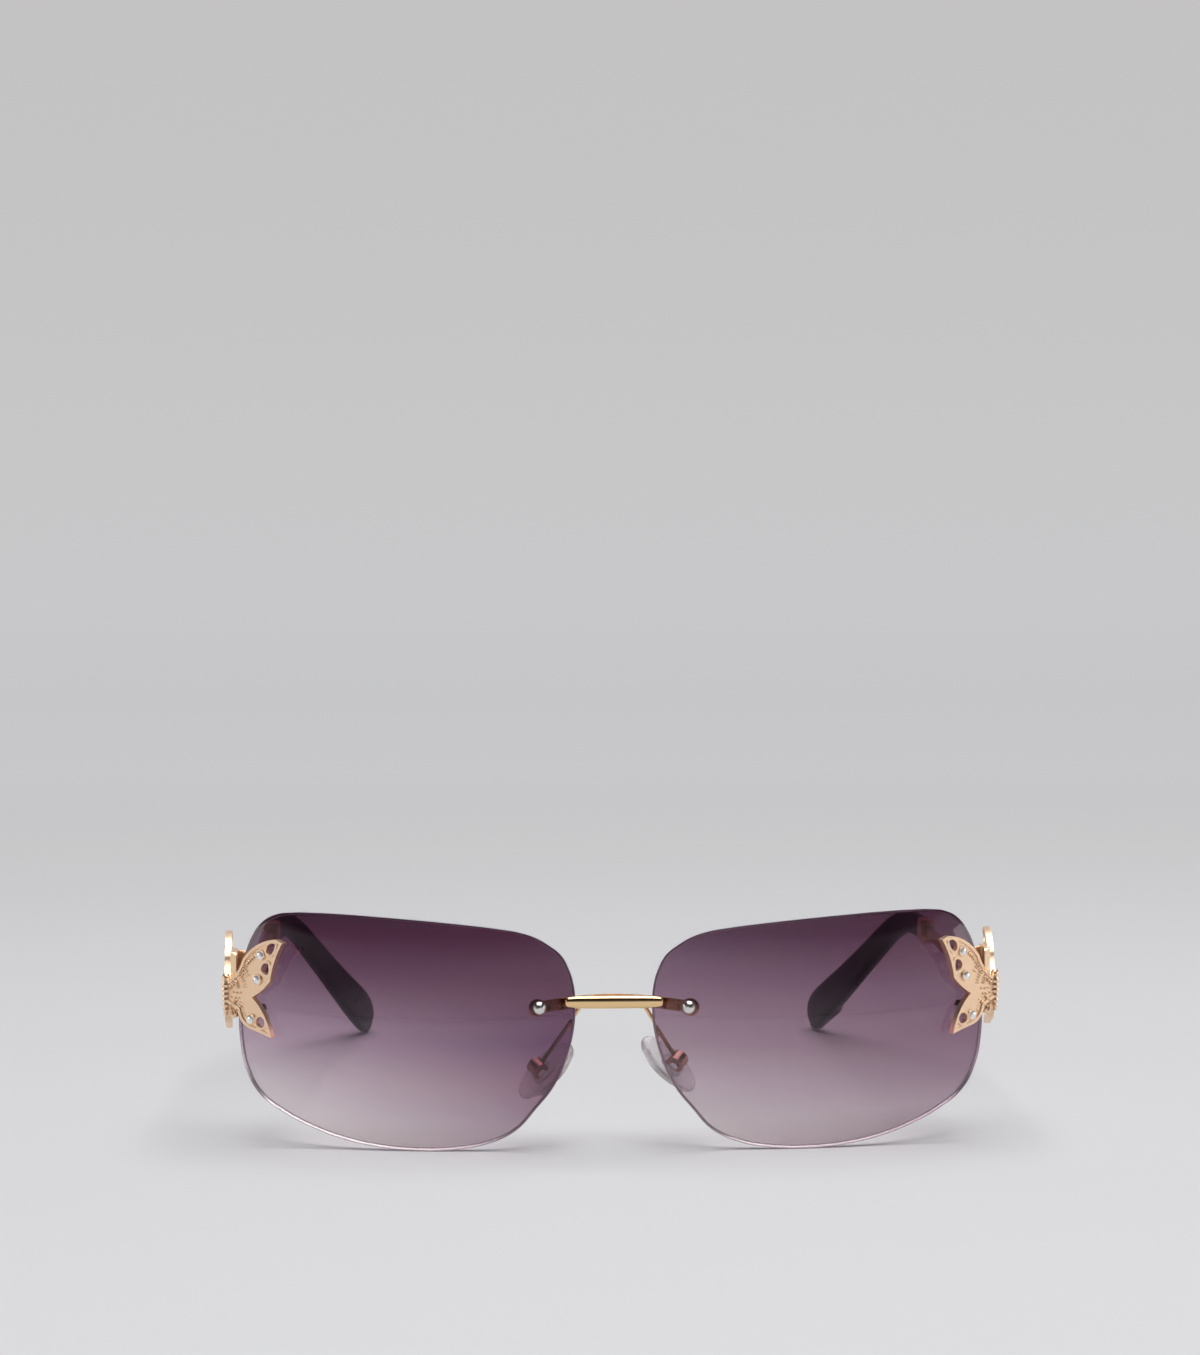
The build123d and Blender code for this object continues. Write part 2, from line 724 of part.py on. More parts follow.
def make_sleeve():
    """Moulded sleeve: straight, then bent down and in to a flat paddle."""
    start = along_arm(sleeve_distance).origin
    bend = temple_point(sleeve_bend_back, sleeve_bend_inward, ferrule_rise)
    dip = atan2(hinge_height, sleeve_tip_back - sleeve_bend_back)
    tip_half = sleeve_shape_shares[-1][1] * sleeve_start_height / 2 * cos(dip)
    tip_rise = tip_half + tip_floor_gap - hinge_height
    tip = temple_point(sleeve_tip_back, sleeve_tip_inward, tip_rise)
    path = FilletPolyline(start, bend, tip, radius=sleeve_bend_radius)
    sections = []
    for share, height_share, width_share in sleeve_shape_shares:
        way = path % share
        lateral = way.cross(Vector(0, 0, 1)).normalized()
        if share == 0:
            way = arm_way
            lateral = arm_lateral
        section = Ellipse(sleeve_start_width * width_share / 2, sleeve_start_height * height_share / 2)
        sections.append(Plane(origin=path @ share, x_dir=lateral, z_dir=way) * section)
    sleeve = loft(sections, ruled=True)
    return sleeve - core_space(sleeve_distance, core_length + running_gap)


# The pieces, each on its own or as a group of like ones
def both(shape):
    return [shape, right_hand(shape)]


def group(shapes):
    return Compound([solid for shape in shapes for solid in shape.solids()])


def front_pieces():
    """Pieces drawn in the front's own frame."""
    lens = make_lens()
    butterfly = make_butterfly()
    stones = group(make_stones())
    bridge_nut = make_nut(bridge_seat, strap_thickness, bridge_nut_radius, bridge_nut_height)
    stud_nuts = [make_nut(seat, leg_thickness, wing_nut_radius, wing_nut_height) for seat in stud_seats]
    pieces = {
        "left_lens": lens,
        "right_lens": right_hand(lens),
        "bridge_bar": make_bar(),
        "bridge_strap": bridge_strap,
        "bridge_screws": group(both(make_bridge_screw())),
        "bridge_bushes": group(both(make_bush(bridge_seat))),
        "bridge_nuts": group(both(bridge_nut)),
        "left_butterfly": butterfly,
        "right_butterfly": right_hand(butterfly),
        "left_stones": stones,
        "right_stones": right_hand(stones),
        "wing_bushes": group([bush for seat in stud_seats for bush in both(make_bush(seat))]),
        "wing_nuts": group([nut for left_nut in stud_nuts for nut in both(left_nut)]),
    }
    for side in ("left", "right"):
        hand = right_hand if side == "right" else (lambda shape: shape)
        pieces[side + "_pad_arm"] = hand(make_pad_arm(side))
        pieces[side + "_pad_box"] = hand(make_pad_box(side))
        pieces[side + "_pad_insert"] = hand(make_pad_insert(side))
        pieces[side + "_nose_pad"] = hand(make_nose_pad(side))
        pieces[side + "_pad_screw"] = hand(make_pad_screw(side))
    return pieces


def temple_pieces():
    """Pieces drawn in the standing pose, for the left side."""
    return {
        "end_piece": make_end_piece(),
        "hinge_screw": make_hinge_screw(),
        "temple_arm": make_temple_arm(),
        "ferrule": make_ferrule(),
        "temple_sleeve": make_sleeve(),
    }


pieces = {name: standing * shape for name, shape in front_pieces().items()}
for name, shape in temple_pieces().items():
    pieces["left_" + name] = shape
    pieces["right_" + name] = right_hand(shape)

# The origin goes under the middle of the whole box
boxes = [shape.bounding_box() for shape in pieces.values()]
low_y = min(box.min.Y for box in boxes)
high_y = max(box.max.Y for box in boxes)
low_z = min(box.min.Z for box in boxes)
home = Pos(0, -(low_y + high_y) / 2, -low_z)

os.makedirs("parts", exist_ok=True)
for name, shape in pieces.items():
    export_step(home * shape, f"parts/{name}.step")

axis = (home * hinge_spot).position
print("hinge axis", round(axis.X, 3), round(axis.Y, 3), round(axis.Z, 3))
for side in ("left", "right"):
    screw = home * standing * pad_frame(side)
    way = (screw * Pos(1, 0, 0)).position - screw.position
    print(side, "pad screw", [round(size, 4) for size in screw.position], [round(size, 4) for size in way])
sleeve_floor = pieces["left_temple_sleeve"].bounding_box().min.Z
print("box y", round(high_y - low_y, 2), "floor", round(low_z, 3), "sleeve floor", round(sleeve_floor, 3))
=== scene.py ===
import bpy
from math import atan2, cos, degrees, pi, radians, sin, sqrt
from mathutils import Matrix, Vector


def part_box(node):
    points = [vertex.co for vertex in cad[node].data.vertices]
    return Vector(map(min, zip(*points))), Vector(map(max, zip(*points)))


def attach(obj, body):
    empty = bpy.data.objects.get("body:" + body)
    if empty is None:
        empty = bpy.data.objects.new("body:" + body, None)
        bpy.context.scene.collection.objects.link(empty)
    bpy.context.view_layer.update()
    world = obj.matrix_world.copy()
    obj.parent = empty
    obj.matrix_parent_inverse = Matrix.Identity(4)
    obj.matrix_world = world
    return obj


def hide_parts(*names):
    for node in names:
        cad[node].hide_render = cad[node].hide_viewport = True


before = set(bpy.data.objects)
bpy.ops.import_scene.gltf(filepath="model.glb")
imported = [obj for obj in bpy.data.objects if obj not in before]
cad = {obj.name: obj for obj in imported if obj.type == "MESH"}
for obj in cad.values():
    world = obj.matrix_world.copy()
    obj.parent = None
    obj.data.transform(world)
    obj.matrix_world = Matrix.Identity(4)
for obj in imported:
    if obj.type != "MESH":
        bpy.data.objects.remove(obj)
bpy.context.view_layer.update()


# Camera
# It stands 0.8 m before the glasses and a hand above them, with a long lens, and looks a little
# down. Its place, aim and focal length were fitted to the picture.
camera_place = (-0.03221, -0.86902, 0.16704)
camera_aim = Vector((0.03649, 0.99513, -0.0915))
bpy.ops.object.camera_add(location=camera_place)
camera = bpy.context.object
camera.data.sensor_width = 36
camera.data.lens = 110.5
camera.rotation_euler = camera_aim.to_track_quat("-Z", "Y").to_euler()
bpy.context.scene.camera = camera
bpy.context.scene.view_settings.view_transform = "Standard"


# Table and backdrop
# One sheet of pale grey matt paper lies on the table and is swept up behind the glasses in a wide
# curve. Painted shade in its colour makes it nearly white in front and greyer as it climbs.
def colour(code):
    """Linear colour of an sRGB hex code."""
    parts = [int(code[i:i + 2], 16) / 255 for i in (1, 3, 5)]
    return [p / 12.92 if p <= 0.04045 else ((p + 0.055) / 1.055)**2.4 for p in parts] + [1]


def add_node(tree, kind, inputs=None, stops=None, **settings):
    """Adds a node with its settings. A socket in inputs takes a value or another node's output.

    Stops are the places and hex colours of a colour ramp, in the place of the two that it has.
    """
    node = tree.nodes.new(kind)
    for name, value in settings.items():
        setattr(node, name, value)
    for place, value in (stops or {}).items():
        stop = node.color_ramp.elements.new(place)
        stop.color = colour(value)
    if stops:
        for place in (0.0, 1.0):
            ends = [e for e in node.color_ramp.elements if e.position == place]
            if len(ends) > 1 or place not in stops:
                node.color_ramp.elements.remove(ends[0])
    for name, value in (inputs or {}).items():
        if isinstance(value, bpy.types.NodeSocket):
            tree.links.new(value, node.inputs[name])
        else:
            node.inputs[name].default_value = value
    return node


def new_material(name):
    """An empty material, with its node tree and the surface socket of its output."""
    material = bpy.data.materials.new(name)
    material.use_nodes = True
    material.node_tree.nodes.clear()
    output = add_node(material.node_tree, "ShaderNodeOutputMaterial")
    return material, material.node_tree, output.inputs["Surface"]


def face_outwards(weld=False):
    """Turns the faces of the active mesh outwards. With weld, its doubles are merged first."""
    bpy.ops.object.mode_set(mode="EDIT")
    bpy.ops.mesh.select_all(action="SELECT")
    if weld:
        bpy.ops.mesh.remove_doubles(threshold=1e-7)
    bpy.ops.mesh.normals_make_consistent(inside=False)
    bpy.ops.object.mode_set(mode="OBJECT")


sweep_front, sweep_back, sweep_half = -1.6, 1.5, 2.2
sweep_radius, sweep_top, sweep_steps = 0.8, 2.2, 24
bpy.ops.object.select_all(action="DESELECT")
bpy.ops.mesh.primitive_plane_add(size=1)
sweep = bpy.context.object
sweep.name = "paper_sweep"
for vertex in sweep.data.vertices:
    vertex.co.x = sweep_half if vertex.co.x > 0 else -sweep_half
    vertex.co.y = sweep_back if vertex.co.y > 0 else sweep_front
bpy.ops.object.mode_set(mode="EDIT")
bpy.ops.mesh.select_all(action="DESELECT")
bpy.ops.object.mode_set(mode="OBJECT")
for edge in sweep.data.edges:
    edge.select = all(sweep.data.vertices[v].co.y > 0 for v in edge.vertices)
bpy.ops.object.mode_set(mode="EDIT")
reach = 2 * sweep_radius * sin(pi / 4 / sweep_steps)
for step in range(sweep_steps):
    angle = pi / 2 * (step + 0.5) / sweep_steps
    bpy.ops.mesh.extrude_region_move(
        TRANSFORM_OT_translate={"value": (0, reach * cos(angle), reach * sin(angle))}
    )
bpy.ops.mesh.extrude_region_move(TRANSFORM_OT_translate={"value": (0, 0, sweep_top)})
face_outwards()
bpy.ops.object.shade_smooth()

# Matt paper scatters the light and has next to no gloss. Beyond the glasses, where the lamps no
# longer reach it well, it glows with its painted colour for the eye, in gloss and through the
# lenses: painted light.
paper, tree, surface = new_material("matt_grey_paper_painted_shade")
place = add_node(tree, "ShaderNodeSeparateXYZ", {
    "Vector": add_node(tree, "ShaderNodeTexCoord").outputs["Object"],
})
depth = add_node(tree, "ShaderNodeMath", {
    0: place.outputs["Y"], 1: place.outputs["Z"],
}, operation="ADD")
share = add_node(tree, "ShaderNodeMapRange", {
    "Value": depth.outputs["Value"], "From Min": -0.3, "From Max": 2.7,
})
# Painted shade: the paper's colour is greyer further back and higher up.
ramp = add_node(tree, "ShaderNodeValToRGB", {"Fac": share.outputs["Result"]}, stops={
    0.0: "#e0e0e2", 0.066: "#dadadc", 0.14: "#d4d4d6", 0.19: "#cfcfd1", 0.227: "#cccccd",
    0.269: "#c8c8ca", 0.382: "#c6c6c8", 0.57: "#c8c8ca", 0.723: "#c7c7c8", 0.82: "#c5c5c5",
    1.0: "#c4c2c3",
})
matt = add_node(tree, "ShaderNodeBsdfPrincipled", {
    "Base Color": ramp.outputs["Color"], "Roughness": 0.9, "Specular IOR Level": 0.1,
})
# Painted light: the paper glows with this painted colour beyond the glasses.
painted_glow = add_node(tree, "ShaderNodeEmission", {"Color": ramp.outputs["Color"], "Strength": 1.0})
far = add_node(tree, "ShaderNodeMapRange", {
    "Value": depth.outputs["Value"], "From Min": 0.2, "From Max": 0.6,
}, interpolation_type="SMOOTHSTEP")
ray = add_node(tree, "ShaderNodeLightPath")
seen = add_node(tree, "ShaderNodeMath", {
    0: ray.outputs["Is Camera Ray"], 1: ray.outputs["Is Glossy Ray"],
}, operation="ADD")
seen = add_node(tree, "ShaderNodeMath", {
    0: seen.outputs["Value"], 1: ray.outputs["Is Transmission Ray"],
}, operation="ADD", use_clamp=True)
painted_glow_share = add_node(tree, "ShaderNodeMath", {
    0: seen.outputs["Value"], 1: far.outputs["Result"],
}, operation="MULTIPLY")
paper_mix = add_node(tree, "ShaderNodeMixShader", {
    "Fac": painted_glow_share.outputs["Value"], 1: matt.outputs["BSDF"], 2: painted_glow.outputs["Emission"],
})
tree.links.new(paper_mix.outputs["Shader"], surface)
sweep.data.materials.append(paper)


# Studio light
# A wide soft box hangs over the table, and two low ones stand at the sides. The room before the
# glasses is dark, which keeps the lenses deep in colour and gives the metal its dark lines.
def soft_box(name, place, aim, size, power):
    """A rectangular lamp at a place, turned to what it lights."""
    data = bpy.data.lights.new(name, "AREA")
    data.shape = "RECTANGLE"
    data.size, data.size_y = size
    data.energy = power
    lamp = bpy.data.objects.new(name, data)
    bpy.context.scene.collection.objects.link(lamp)
    lamp.location = place
    lamp.rotation_euler = (Vector(aim) - Vector(place)).to_track_quat("-Z", "Y").to_euler()


soft_box("top_box", (0.1, 0.0, 1.3), (0, 0, 0), (1.6, 1.2), 21)
soft_box("left_box", (1.15, 0.1, 0.12), (0, 0, 0.05), (0.75, 0.56), 2.6)
soft_box("right_box", (-1.15, 0.1, 0.14), (0, 0, 0.05), (0.8, 0.7), 2.8)

# The room is pale behind the glasses, dim overhead and dark before them, and half pale all round
# near the table.
world = bpy.context.scene.world or bpy.data.worlds.new("studio")
bpy.context.scene.world = world
world.use_nodes = True
tree = world.node_tree
tree.nodes.clear()
around = add_node(tree, "ShaderNodeSeparateXYZ", {
    "Vector": add_node(tree, "ShaderNodeTexCoord").outputs["Generated"],
})
behind = add_node(tree, "ShaderNodeMapRange", {
    "Value": around.outputs["Y"], "From Min": -1.0, "From Max": 0.0,
})
low = add_node(tree, "ShaderNodeMapRange", {
    "Value": around.outputs["Z"], "From Min": -0.05, "From Max": 0.35,
    "To Min": 0.62, "To Max": 0.0,
}, interpolation_type="SMOOTHSTEP")
below_top = add_node(tree, "ShaderNodeMapRange", {
    "Value": around.outputs["Z"], "From Min": 0.34, "From Max": 0.41,
    "To Min": 1.0, "To Max": 0.2,
}, interpolation_type="SMOOTHSTEP")
share = add_node(tree, "ShaderNodeMath", {
    0: behind.outputs["Result"], 1: below_top.outputs["Result"],
}, operation="MINIMUM")
share = add_node(tree, "ShaderNodeMath", {
    0: share.outputs["Value"], 1: low.outputs["Result"],
}, operation="MAXIMUM")
ramp = add_node(tree, "ShaderNodeValToRGB", {"Fac": share.outputs["Value"]}, stops={
    0.0: "#303032", 0.22: "#3c3c3e", 0.42: "#969698", 0.7: "#d0d0d2", 1.0: "#d4d4d6",
})
glow = add_node(tree, "ShaderNodeBackground", {"Color": ramp.outputs["Color"], "Strength": 0.75})
add_node(tree, "ShaderNodeOutputWorld", {"Surface": glow.outputs["Background"]})


# Lenses
# Two cuts from a ball-shaped acrylic blank, dyed by dipping: plum at the top, nearly clear below.
# Painted shade makes both of them darker towards the glasses' left side, most of all in their lower
# half. They are cut and drilled after dyeing, and buffed at the edge.
def round_edges(thing, width, turn):
    """Rounds the edges of the active object where its faces turn by more than so many degrees."""
    edge = thing.modifiers.new("edge", "BEVEL")
    edge.width = width
    edge.segments = 2
    edge.limit_method = "ANGLE"
    edge.angle_limit = radians(turn)
    bpy.ops.object.modifier_apply(modifier="edge")


def cast_of(node, name, body, material, bevel=0.0, smooth=30):
    """A merged copy of a CAD node, its sharp edges rounded off, in the node's place."""
    bpy.ops.object.select_all(action="DESELECT")
    copy = bpy.data.objects.new(name, cad[node].data.copy())
    bpy.context.scene.collection.objects.link(copy)
    copy.data.materials.clear()
    copy.data.materials.append(material)
    copy.select_set(True)
    bpy.context.view_layer.objects.active = copy
    bpy.ops.object.mode_set(mode="EDIT")
    bpy.ops.mesh.select_all(action="SELECT")
    bpy.ops.mesh.remove_doubles(threshold=1e-7)
    bpy.ops.mesh.dissolve_limited(angle_limit=radians(0.2))
    bpy.ops.object.mode_set(mode="OBJECT")
    if bevel:
        round_edges(copy, bevel, 35)
    bpy.ops.object.shade_smooth_by_angle(angle=radians(smooth))
    flat = copy.modifiers.new("flat", "WEIGHTED_NORMAL")
    flat.keep_sharp = True
    bpy.ops.object.modifier_apply(modifier="flat")
    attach(copy, body)
    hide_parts(node)
    return copy


# The front leans back on the lower edges of its lenses, and all its pieces with it.
front_lean, front_back, front_rise = radians(3.5), -0.0696627, 0.002486
front_place = (
    Matrix.Translation((0, front_back, front_rise)) @ Matrix.Rotation(-front_lean, 4, "X")
)
mirrored = Matrix.Diagonal((-1, 1, 1, 1))
ball_radius, lens_thickness, lens_edge_round = 0.06625, 0.002, 0.00015
lens_wrap, lens_centre, lens_height = radians(8.5), (0.0414, 0, 0.023), 0.0463
lens_place = front_place @ Matrix.Translation(lens_centre) @ Matrix.Rotation(lens_wrap, 4, "Z")
lens_outline_mm = [
    (33.95, 8.9), (33.1, 12.8), (31.7, 16.4), (29.6, 19.2), (26.8, 20.75), (23.0, 21.33),
    (18.0, 21.44), (12.6, 21.33), (6.1, 21.0), (-0.3, 20.56), (-6.6, 20.02), (-12.8, 19.35),
    (-18.6, 18.55), (-22.4, 17.8), (-25.3, 16.75), (-27.7, 15.3), (-30.2, 13.2), (-31.7, 10.5),
    (-32.7, 7.1), (-33.0, 2.6), (-32.6, -2.0), (-31.2, -7.3), (-28.9, -12.4), (-25.3, -17.0),
    (-21.3, -21.3), (-16.0, -23.8), (-9.98, -24.9), (-2.5, -25.15), (5.0, -24.6), (12.2, -23.25),
    (18.9, -21.1), (25.0, -18.3), (30.06, -14.8), (32.9, -9.9), (34.05, -3.93), (34.25, 2.5),
]
lens_rings = (0.985, 0.95, 0.92, 0.9, 0.88, 0.86, 0.84, 0.8, 0.75, 0.68, 0.55, 0.4)
lens_holes_mm = [(-26.32, 3.1), (29.8, 10.7), (31.2, 1.9)]
hole_radius = 0.00115


def on_ball(x, z):
    """A point of the lens's front face, in the lens's own place."""
    return Vector((x, ball_radius - sqrt(ball_radius**2 - x**2 - z**2), z))


def cut_lens(side):
    """A smooth ring filled with rings of faces, dropped on the ball, thickened and drilled."""
    bpy.ops.object.select_all(action="DESELECT")
    bpy.ops.curve.primitive_bezier_circle_add(radius=0.03)
    ring = bpy.context.object
    bpy.ops.object.mode_set(mode="EDIT")
    bpy.ops.curve.select_all(action="SELECT")
    bpy.ops.curve.subdivide(number_cuts=8)
    bpy.ops.object.mode_set(mode="OBJECT")
    points = ring.data.splines[0].bezier_points
    for point, (x, z) in zip(points, lens_outline_mm):
        point.co = (x / 1000, 0, z / 1000)
        point.handle_left_type = point.handle_right_type = "AUTO"
    ring.data.splines[0].resolution_u = 8
    bpy.ops.object.convert(target="MESH")
    lens = bpy.context.object
    lens.name = side + "_lens_dyed"
    bpy.ops.object.mode_set(mode="EDIT")
    bpy.ops.mesh.select_all(action="SELECT")
    bpy.ops.mesh.remove_doubles(threshold=1e-7)
    for shrink in lens_rings:
        bpy.ops.mesh.extrude_edges_move()
        bpy.ops.transform.resize(value=(shrink, shrink, shrink), center_override=(0, 0, 0))
    bpy.ops.mesh.merge(type="CENTER")
    face_outwards()
    for vertex in lens.data.vertices:
        vertex.co = on_ball(vertex.co.x, vertex.co.z)
    if lens.data.polygons[0].normal.y > 0:
        lens.data.flip_normals()
    wall = lens.modifiers.new("wall", "SOLIDIFY")
    wall.thickness = lens_thickness
    wall.offset = -1
    bpy.ops.object.modifier_apply(modifier="wall")
    round_edges(lens, lens_edge_round, 50)
    for x, z in lens_holes_mm:
        centre = on_ball(x / 1000, z / 1000)
        way = (centre - Vector((0, ball_radius, 0))).normalized()
        bpy.ops.object.select_all(action="DESELECT")
        bpy.ops.mesh.primitive_cylinder_add(
            vertices=32, radius=hole_radius, depth=4 * lens_thickness,
            location=centre - way * lens_thickness / 2,
            rotation=way.to_track_quat("Z", "Y").to_euler(),
        )
        drill = bpy.context.object
        bpy.context.view_layer.objects.active = lens
        hole = lens.modifiers.new("hole", "BOOLEAN")
        hole.object = drill
        hole.operation = "DIFFERENCE"
        bpy.ops.object.modifier_apply(modifier="hole")
        bpy.data.objects.remove(drill)
    lens.data.transform(lens_place)
    if side == "right":
        lens.data.transform(mirrored)
        lens.data.flip_normals()
    bpy.ops.object.select_all(action="DESELECT")
    lens.select_set(True)
    bpy.ops.object.shade_smooth_by_angle(angle=radians(30))
    return lens


# Acrylic that was cut and buffed, not polished: a hazy line round the lens, paler than the dyed
# faces, with marks about 1.25 mm apart.
cut_edge, tree, surface = new_material("buffed_acrylic_edge")
place = add_node(tree, "ShaderNodeTexCoord").outputs["Object"]
marks = add_node(tree, "ShaderNodeTexNoise", {"Vector": place, "Scale": 800.0})
rough = add_node(tree, "ShaderNodeMapRange", {
    "Value": marks.outputs["Fac"], "To Min": 0.25, "To Max": 0.45,
})
rim = add_node(tree, "ShaderNodeBsdfPrincipled", {
    "Base Color": colour("#8e7c8a"), "Roughness": rough.outputs["Result"], "IOR": 1.49,
    "Transmission Weight": 0.7,
})
tree.links.new(rim.outputs["BSDF"], surface)

# Dyed acrylic, clear and glossy as moulded. The stops give the colour of what is seen through the
# lens, from its foot to its top, at its one end and at its other; the end towards the glasses' left
# is darker, as painted shade. For shadows and scattered light the dye is thinned, so that the lenses
# shade the paper only a little. The faces that look along the ball's radius are dyed, and the rest
# is cut edge.
dyes_and_painted_shade = {
    "right": (-0.0752, -0.0105, {
        0.0: "#f6f1ea", 0.167: "#f2e8eb", 0.29: "#e6d8df", 0.458: "#c8aec0", 0.6875: "#92748a",
        0.79: "#76526c", 0.917: "#5e384e", 1.0: "#4e3246",
    }, {
        0.0: "#b49da9", 0.167: "#9a7c92", 0.29: "#90667e", 0.458: "#70486a", 0.6875: "#785568",
        0.79: "#725266", 0.917: "#5c384e", 1.0: "#5a3e50",
    }),
    "left": (0.0105, 0.0752, {
        0.0: "#e6dadb", 0.167: "#d2c6ca", 0.29: "#cab8c2", 0.458: "#ae94a4", 0.6875: "#9a7c90",
        0.79: "#8e7286", 0.917: "#6e5266", 1.0: "#68505c",
    }, {
        0.0: "#a08a92", 0.167: "#b69eac", 0.29: "#a08296", 0.458: "#8e6a80", 0.6875: "#826278",
        0.79: "#704a60", 0.917: "#5c344c", 1.0: "#5a364c",
    }),
}
thinning, least_facing = 0.15, 0.97
for side, (near, far, lit_end_stops, shaded_end_stops) in dyes_and_painted_shade.items():
    acrylic, tree, surface = new_material("dip_dyed_acrylic_painted_shade_" + side)
    place = add_node(tree, "ShaderNodeSeparateXYZ", {
        "Vector": add_node(tree, "ShaderNodeTexCoord").outputs["Object"],
    })
    rise = add_node(tree, "ShaderNodeMapRange", {
        "Value": place.outputs["Z"], "From Max": lens_height,
    })
    # Painted shade: across each lens the colour darkens towards the glasses' left, the same way in
    # both.
    across = add_node(tree, "ShaderNodeMapRange", {
        "Value": place.outputs["X"], "From Min": near, "From Max": far,
    })
    lit_end_dye, shaded_end_dye = (
        add_node(tree, "ShaderNodeValToRGB", {"Fac": rise.outputs["Result"]}, stops=stops)
        for stops in (lit_end_stops, shaded_end_stops)
    )
    # The dye from foot to top, mixed with the painted shade across the lens.
    dye_and_shade = add_node(tree, "ShaderNodeMixRGB", {
        "Fac": across.outputs["Result"],
        "Color1": lit_end_dye.outputs["Color"], "Color2": shaded_end_dye.outputs["Color"],
    })
    body = add_node(tree, "ShaderNodeBsdfPrincipled", {
        "Base Color": dye_and_shade.outputs["Color"], "Roughness": 0.0, "IOR": 1.49,
        "Transmission Weight": 1.0,
    })
    thinned = add_node(tree, "ShaderNodeGamma", {"Color": dye_and_shade.outputs["Color"], "Gamma": thinning})
    passed = add_node(tree, "ShaderNodeBsdfTransparent", {"Color": thinned.outputs["Color"]})
    ray = add_node(tree, "ShaderNodeLightPath")
    unseen = add_node(tree, "ShaderNodeMath", {
        0: ray.outputs["Is Shadow Ray"], 1: ray.outputs["Is Diffuse Ray"],
    }, operation="MAXIMUM")
    whole = add_node(tree, "ShaderNodeMixShader", {
        "Fac": unseen.outputs["Value"], 1: body.outputs["BSDF"], 2: passed.outputs["BSDF"],
    })
    tree.links.new(whole.outputs["Shader"], surface)
    lens = cut_lens(side)
    lens.data.materials.append(acrylic)
    lens.data.materials.append(cut_edge)
    to_centre = Vector((-sin(lens_wrap), cos(lens_wrap), 0)) * ball_radius
    centre = front_place @ Vector(lens_centre) + to_centre
    if side == "right":
        centre.x = -centre.x
    for face in lens.data.polygons:
        towards = (centre - face.center).normalized()
        face.material_index = 0 if abs(face.normal.dot(towards)) > least_facing else 1
    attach(lens, "front")
    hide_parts(side + "_lens")


# Bridge
# A solid brass bar, plated in pale gold and buffed to a mirror, stands before the lenses on two
# lugs. A flat strap of the same metal runs behind them, and a nickel-plated domed screw with a nut
# holds each end.
def plated(name, code, roughness, grain=0.0, depth=0.0):
    """Metal plate: a clean colour, a polish that wavers over 1.1 mm, and a grain where given."""
    material, tree, surface = new_material(name)
    place = add_node(tree, "ShaderNodeTexCoord").outputs["Object"]
    wear = add_node(tree, "ShaderNodeTexNoise", {"Vector": place, "Scale": 900.0, "Detail": 3.0})
    polish = add_node(tree, "ShaderNodeMapRange", {
        "Value": wear.outputs["Fac"], "From Min": 0.3, "From Max": 0.7,
        "To Min": roughness * 0.85, "To Max": roughness * 1.15,
    })
    metal = add_node(tree, "ShaderNodeBsdfPrincipled", {
        "Base Color": colour(code), "Metallic": 1.0, "Roughness": polish.outputs["Result"],
    })
    if grain:
        pits = add_node(tree, "ShaderNodeTexNoise", {
            "Vector": place, "Scale": 1 / grain, "Detail": 2.0,
        })
        bump = add_node(tree, "ShaderNodeBump", {
            "Height": pits.outputs["Fac"], "Distance": depth,
        })
        tree.links.new(bump.outputs["Normal"], metal.inputs["Normal"])
    tree.links.new(metal.outputs["BSDF"], surface)
    return material


def joined(pieces, name, weld=False):
    """Joins pieces into the first one and turns its faces outwards."""
    bpy.ops.object.select_all(action="DESELECT")
    for piece in pieces:
        piece.select_set(True)
    whole = pieces[0]
    bpy.context.view_layer.objects.active = whole
    bpy.ops.object.join()
    whole.name = name
    face_outwards(weld)
    return whole


# Buffed plate gives sharp reflections, barrel-polished plate soft ones, and nickel cool grey ones.
mirror_gold = plated("buffed_gold_plate", "#f2cf9c", 0.08)
wire_gold = plated("barrel_polished_gold_plate", "#ecc094", 0.2)
silver = plated("barrelled_nickel_plate", "#e4e2de", 0.24)
bar_low, bar_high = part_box("bridge_bar")
bar_half_depth, bar_half_height, bar_face_to_axis = 0.00105, 0.0013, 0.00112
lug_x, lug_radius = 0.0045, 0.0008
bar_y, bar_z = bar_low[1] + bar_face_to_axis, (bar_low[2] + bar_high[2]) / 2
# The bar starts as a ball. A lower fullness makes it squarer, along its length and at its ends.
# Its section is a rounded rectangle of this power, and gets thinner towards the ends. The ball's
# poles have no direction, so the lowest values are held above nought.
length_fullness, end_fullness, section_power, end_thinning = 0.22, 0.34, 2.4, 0.1
bpy.ops.object.select_all(action="DESELECT")
bpy.ops.mesh.primitive_uv_sphere_add(segments=40, ring_count=40, radius=1)
bar = bpy.context.object
for vertex in bar.data.vertices:
    x, y, z = vertex.co.z, vertex.co.x, vertex.co.y
    reach = max(sqrt(y**2 + z**2), 1e-6)
    along = (1 if x > 0 else -1) * abs(x)**length_fullness
    thick = reach**end_fullness * (1 - end_thinning * along**2)
    y, z = y / reach, z / reach
    power_sum = max(abs(y)**section_power + abs(z)**section_power, 0.1)
    full = power_sum**(-1 / section_power) * thick
    vertex.co = (
        along * bar_high[0], bar_y + y * full * bar_half_depth, bar_z + z * full * bar_half_height,
    )
pieces = [bar]
for x in (-lug_x, lug_x):
    bpy.ops.mesh.primitive_cylinder_add(
        vertices=32, radius=lug_radius, depth=bar_high[1] - bar_y,
        location=(x, (bar_high[1] + bar_y) / 2, bar_z), rotation=(pi / 2, 0, 0),
    )
    bpy.ops.object.transform_apply(location=True, rotation=True)
    pieces.append(bpy.context.object)
joined(pieces, "bridge_bar_buffed", weld=True)
bpy.ops.object.shade_smooth_by_angle(angle=radians(50))
bar.data.materials.append(mirror_gold)
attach(bar, "front")
